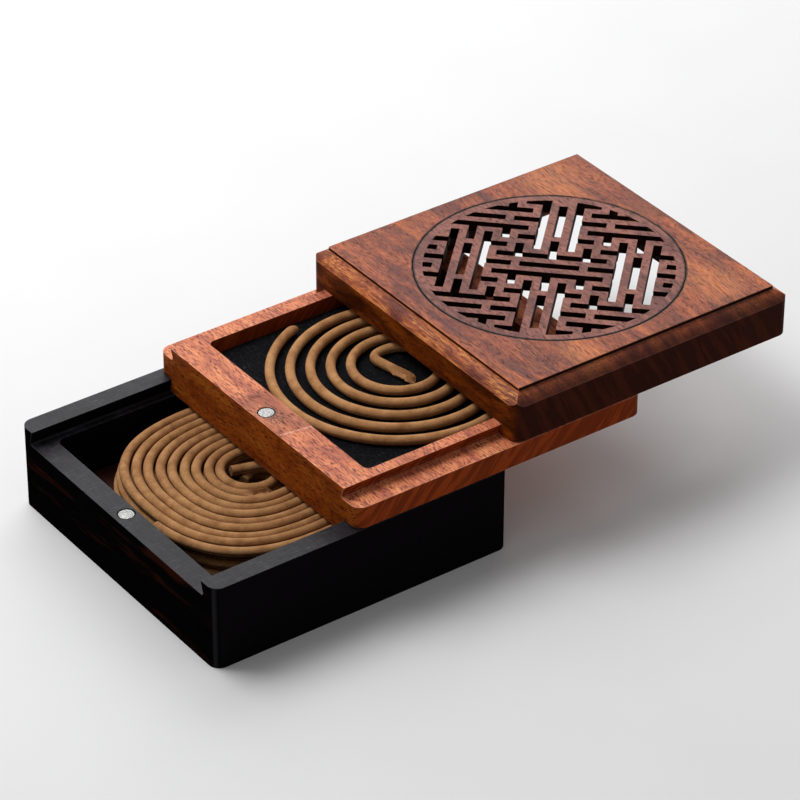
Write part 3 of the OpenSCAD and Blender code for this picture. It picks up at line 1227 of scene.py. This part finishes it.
@dataclass
class BurningTray:
    """The middle tray, its magnets, the mat and the coil that burns on it."""

    finishes: Finishes
    rail_top: float = 45.4
    middle: Triple = (58.6, 1.2, 41.95)
    coil: Winding = Winding(45.55, 6.937, 5 - 7 / 360, 108, Hook(3.5, 91, 17), slip=(-2.1, -2.31))
    wood: Rosewood = Rosewood(
        name="tray_rosewood",
        deep=srgb(172, 92, 68),
        middle=srgb(216, 124, 80),
        pale=srgb(232, 144, 94),
        pore=srgb(112, 56, 58),
        fleck=srgb(252, 192, 148),
        shaded_end_deep=srgb(116, 46, 18),
        shaded_end_streak=srgb(148, 62, 24),
        side_shade_tint=(0.45, 0.34, 0.1),
        pore_share=0.85,
        wander=3.5,
        ring_lean=-40,
        offset=37,
    )

    def build(self) -> list[Object]:
        """Builds the tray and what lies in it.

        Returns:
            The pieces.
        """
        low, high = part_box("tray_top_magnet")
        spot = ((low.x + high.x) / 2 / MM, (low.y + high.y) / 2 / MM, self.rail_top)
        wood = replace(self.wood, rubbed_magnet=spot)
        body = WoodenPiece("tray_body", Tier.TRAY, "tray_rosewood", wood).build()
        top = Magnet("tray_top_magnet", Tier.TRAY, self.finishes).build()
        under = Magnet("tray_under_magnet", Tier.TRAY, self.finishes, faces_up=False).build()
        mat = FireproofMat(self.finishes.felt).build()
        coil = IncenseCoil(
            node="burning_coil",
            tier=Tier.TRAY,
            winding=self.coil,
            middle=self.middle,
            material=self.finishes.incense,
            start=End.SLANTED,
            end=End.TORN,
            ring_gap=0.8,
        ).build()
        return [body, top, under, mat, coil]


@dataclass
class Lid:
    """The lid, its magnet and the let-in fret grille."""

    finishes: Finishes
    seam_gap: float = 0.15
    wood: Rosewood = Rosewood(
        name="lid_rosewood",
        deep=srgb(96, 46, 38),
        middle=srgb(152, 76, 46),
        pale=srgb(186, 98, 52),
        pore=srgb(70, 32, 32),
        fleck=srgb(216, 132, 76),
        shaded_end_deep=srgb(50, 20, 12),
        shaded_end_streak=srgb(66, 27, 15),
        side_shade_tint=(0.46, 0.4, 0.13),
        pore_share=0.55,
        side_bands=0.7,
        wander=9,
        ring_width=3.0,
        offset=211,
        groove=(58.75, 59.9),
        border=(54.6, 58.8),
        painted_glows=((158, 47, 17), (162, -42, 15), (97, -50, 10)),
        shades=((176, 14, 13),),
    )
    fret: Rosewood = Rosewood(
        name="grille_rosewood",
        deep=srgb(104, 58, 51),
        middle=srgb(140, 82, 68),
        pale=srgb(156, 94, 78),
        pore=srgb(66, 34, 33),
        fleck=srgb(184, 122, 98),
        shaded_end_deep=srgb(40, 18, 14),
        shaded_end_streak=srgb(70, 34, 24),
        fleck_share=0.3,
        offset=90,
        dark_walls=True,
    )

    def build(self) -> list[Object]:
        """Builds the lid and its grille.

        Returns:
            The pieces.
        """
        low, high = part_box("lid_grille")
        radius = (high.x - low.x) / 2 / MM + self.seam_gap
        seam = ((low.x + high.x) / 2 / MM, (low.y + high.y) / 2 / MM, radius)
        wood, fret = replace(self.wood, seam=seam), replace(self.fret, seam=seam)
        body = WoodenPiece("lid_body", Tier.LID, "lid_rosewood", wood).build()
        grille = WoodenPiece("lid_grille", Tier.LID, "grille_rosewood", fret, 0.16).build()
        magnet = Magnet("lid_magnet", Tier.LID, self.finishes, faces_up=False).build()
        return [body, grille, magnet]


@dataclass
class Studio:
    """The pale board, the soft lights and the camera."""

    eye: Triple = (-641.58, -966.64, 826.75)
    heading: float = 54.1234
    pitch: float = -33.7836
    roll: float = 0.1395
    lens: float = 185.9
    sensor: float = 36
    clip: Pair = (50, 20000)
    board_side: float = 6000
    room_light: float = 0.28

    def build(self) -> None:
        """Sets up the studio."""
        self.board()
        self.softbox("back_softbox", place=(650, 900, 680), aim=(60, 0, 40), size=1250, power=12.0)
        self.softbox("key_softbox", place=(-250, 450, 950), aim=(40, 0, 30), size=600, power=7.8)
        self.room()
        self.camera()
        bpy.context.scene.view_settings.view_transform = "Standard"

    def board(self) -> None:
        """Lays the flat pale board under the burner."""
        side = self.board_side * MM
        board = primitive("pale_board", bpy.ops.mesh.primitive_plane_add, size=side, location=(0, 0, 0))
        board.data.materials.append(PaleBoard().make())

    def softbox(self, name: str, place: Triple, aim: Triple, size: float, power: float) -> None:
        """Hangs a square soft light.

        Args:
            name: Name of the light.
            place: Where it hangs, in millimetres.
            aim: The point that it faces, in millimetres.
            size: Side of the square, in millimetres.
            power: Its power in watts.
        """
        lamp = bpy.data.lights.new(name, "AREA")
        lamp.size = size * MM
        lamp.energy = power
        light = linked(name, lamp)
        light.location = Vector(place) * MM
        light.rotation_euler = (Vector(aim) - Vector(place)).to_track_quat("-Z", "Y").to_euler()

    def room(self) -> None:
        """Fills the room with even white light."""
        world = bpy.data.worlds.new("even_room")
        bpy.context.scene.world = world
        world.use_nodes = True
        inputs = world.node_tree.nodes["Background"].inputs
        inputs["Color"].default_value = (1, 1, 1, 1)
        inputs["Strength"].default_value = self.room_light

    def camera(self) -> None:
        """Puts the camera where the photograph was taken from."""
        data = bpy.data.cameras.new("camera")
        data.lens = self.lens
        data.sensor_width = self.sensor
        data.clip_start, data.clip_end = (limit * MM for limit in self.clip)
        camera = linked("camera", data)
        turn = Matrix.Rotation(math.radians(self.heading - 90), 3, "Z")
        tilt = Matrix.Rotation(math.radians(90 + self.pitch), 3, "X")
        lean = Matrix.Rotation(math.radians(self.roll), 3, "Z")
        camera.location = Vector(self.eye) * MM
        camera.rotation_euler = (turn @ tilt @ lean).to_euler()
        bpy.context.scene.camera = camera


def main() -> None:
    """Builds the studio and the three tiers."""
    logging.basicConfig(level=logging.INFO, format="%(message)s")
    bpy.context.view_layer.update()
    Studio().build()
    finishes = Finishes()
    for assembly in (StorageBox(finishes), BurningTray(finishes), Lid(finishes)):
        for piece in assembly.build():
            log.info("%s: %s has %d faces", type(assembly).__name__, piece.name, len(piece.data.polygons))


if __name__ == "__main__":
    main()
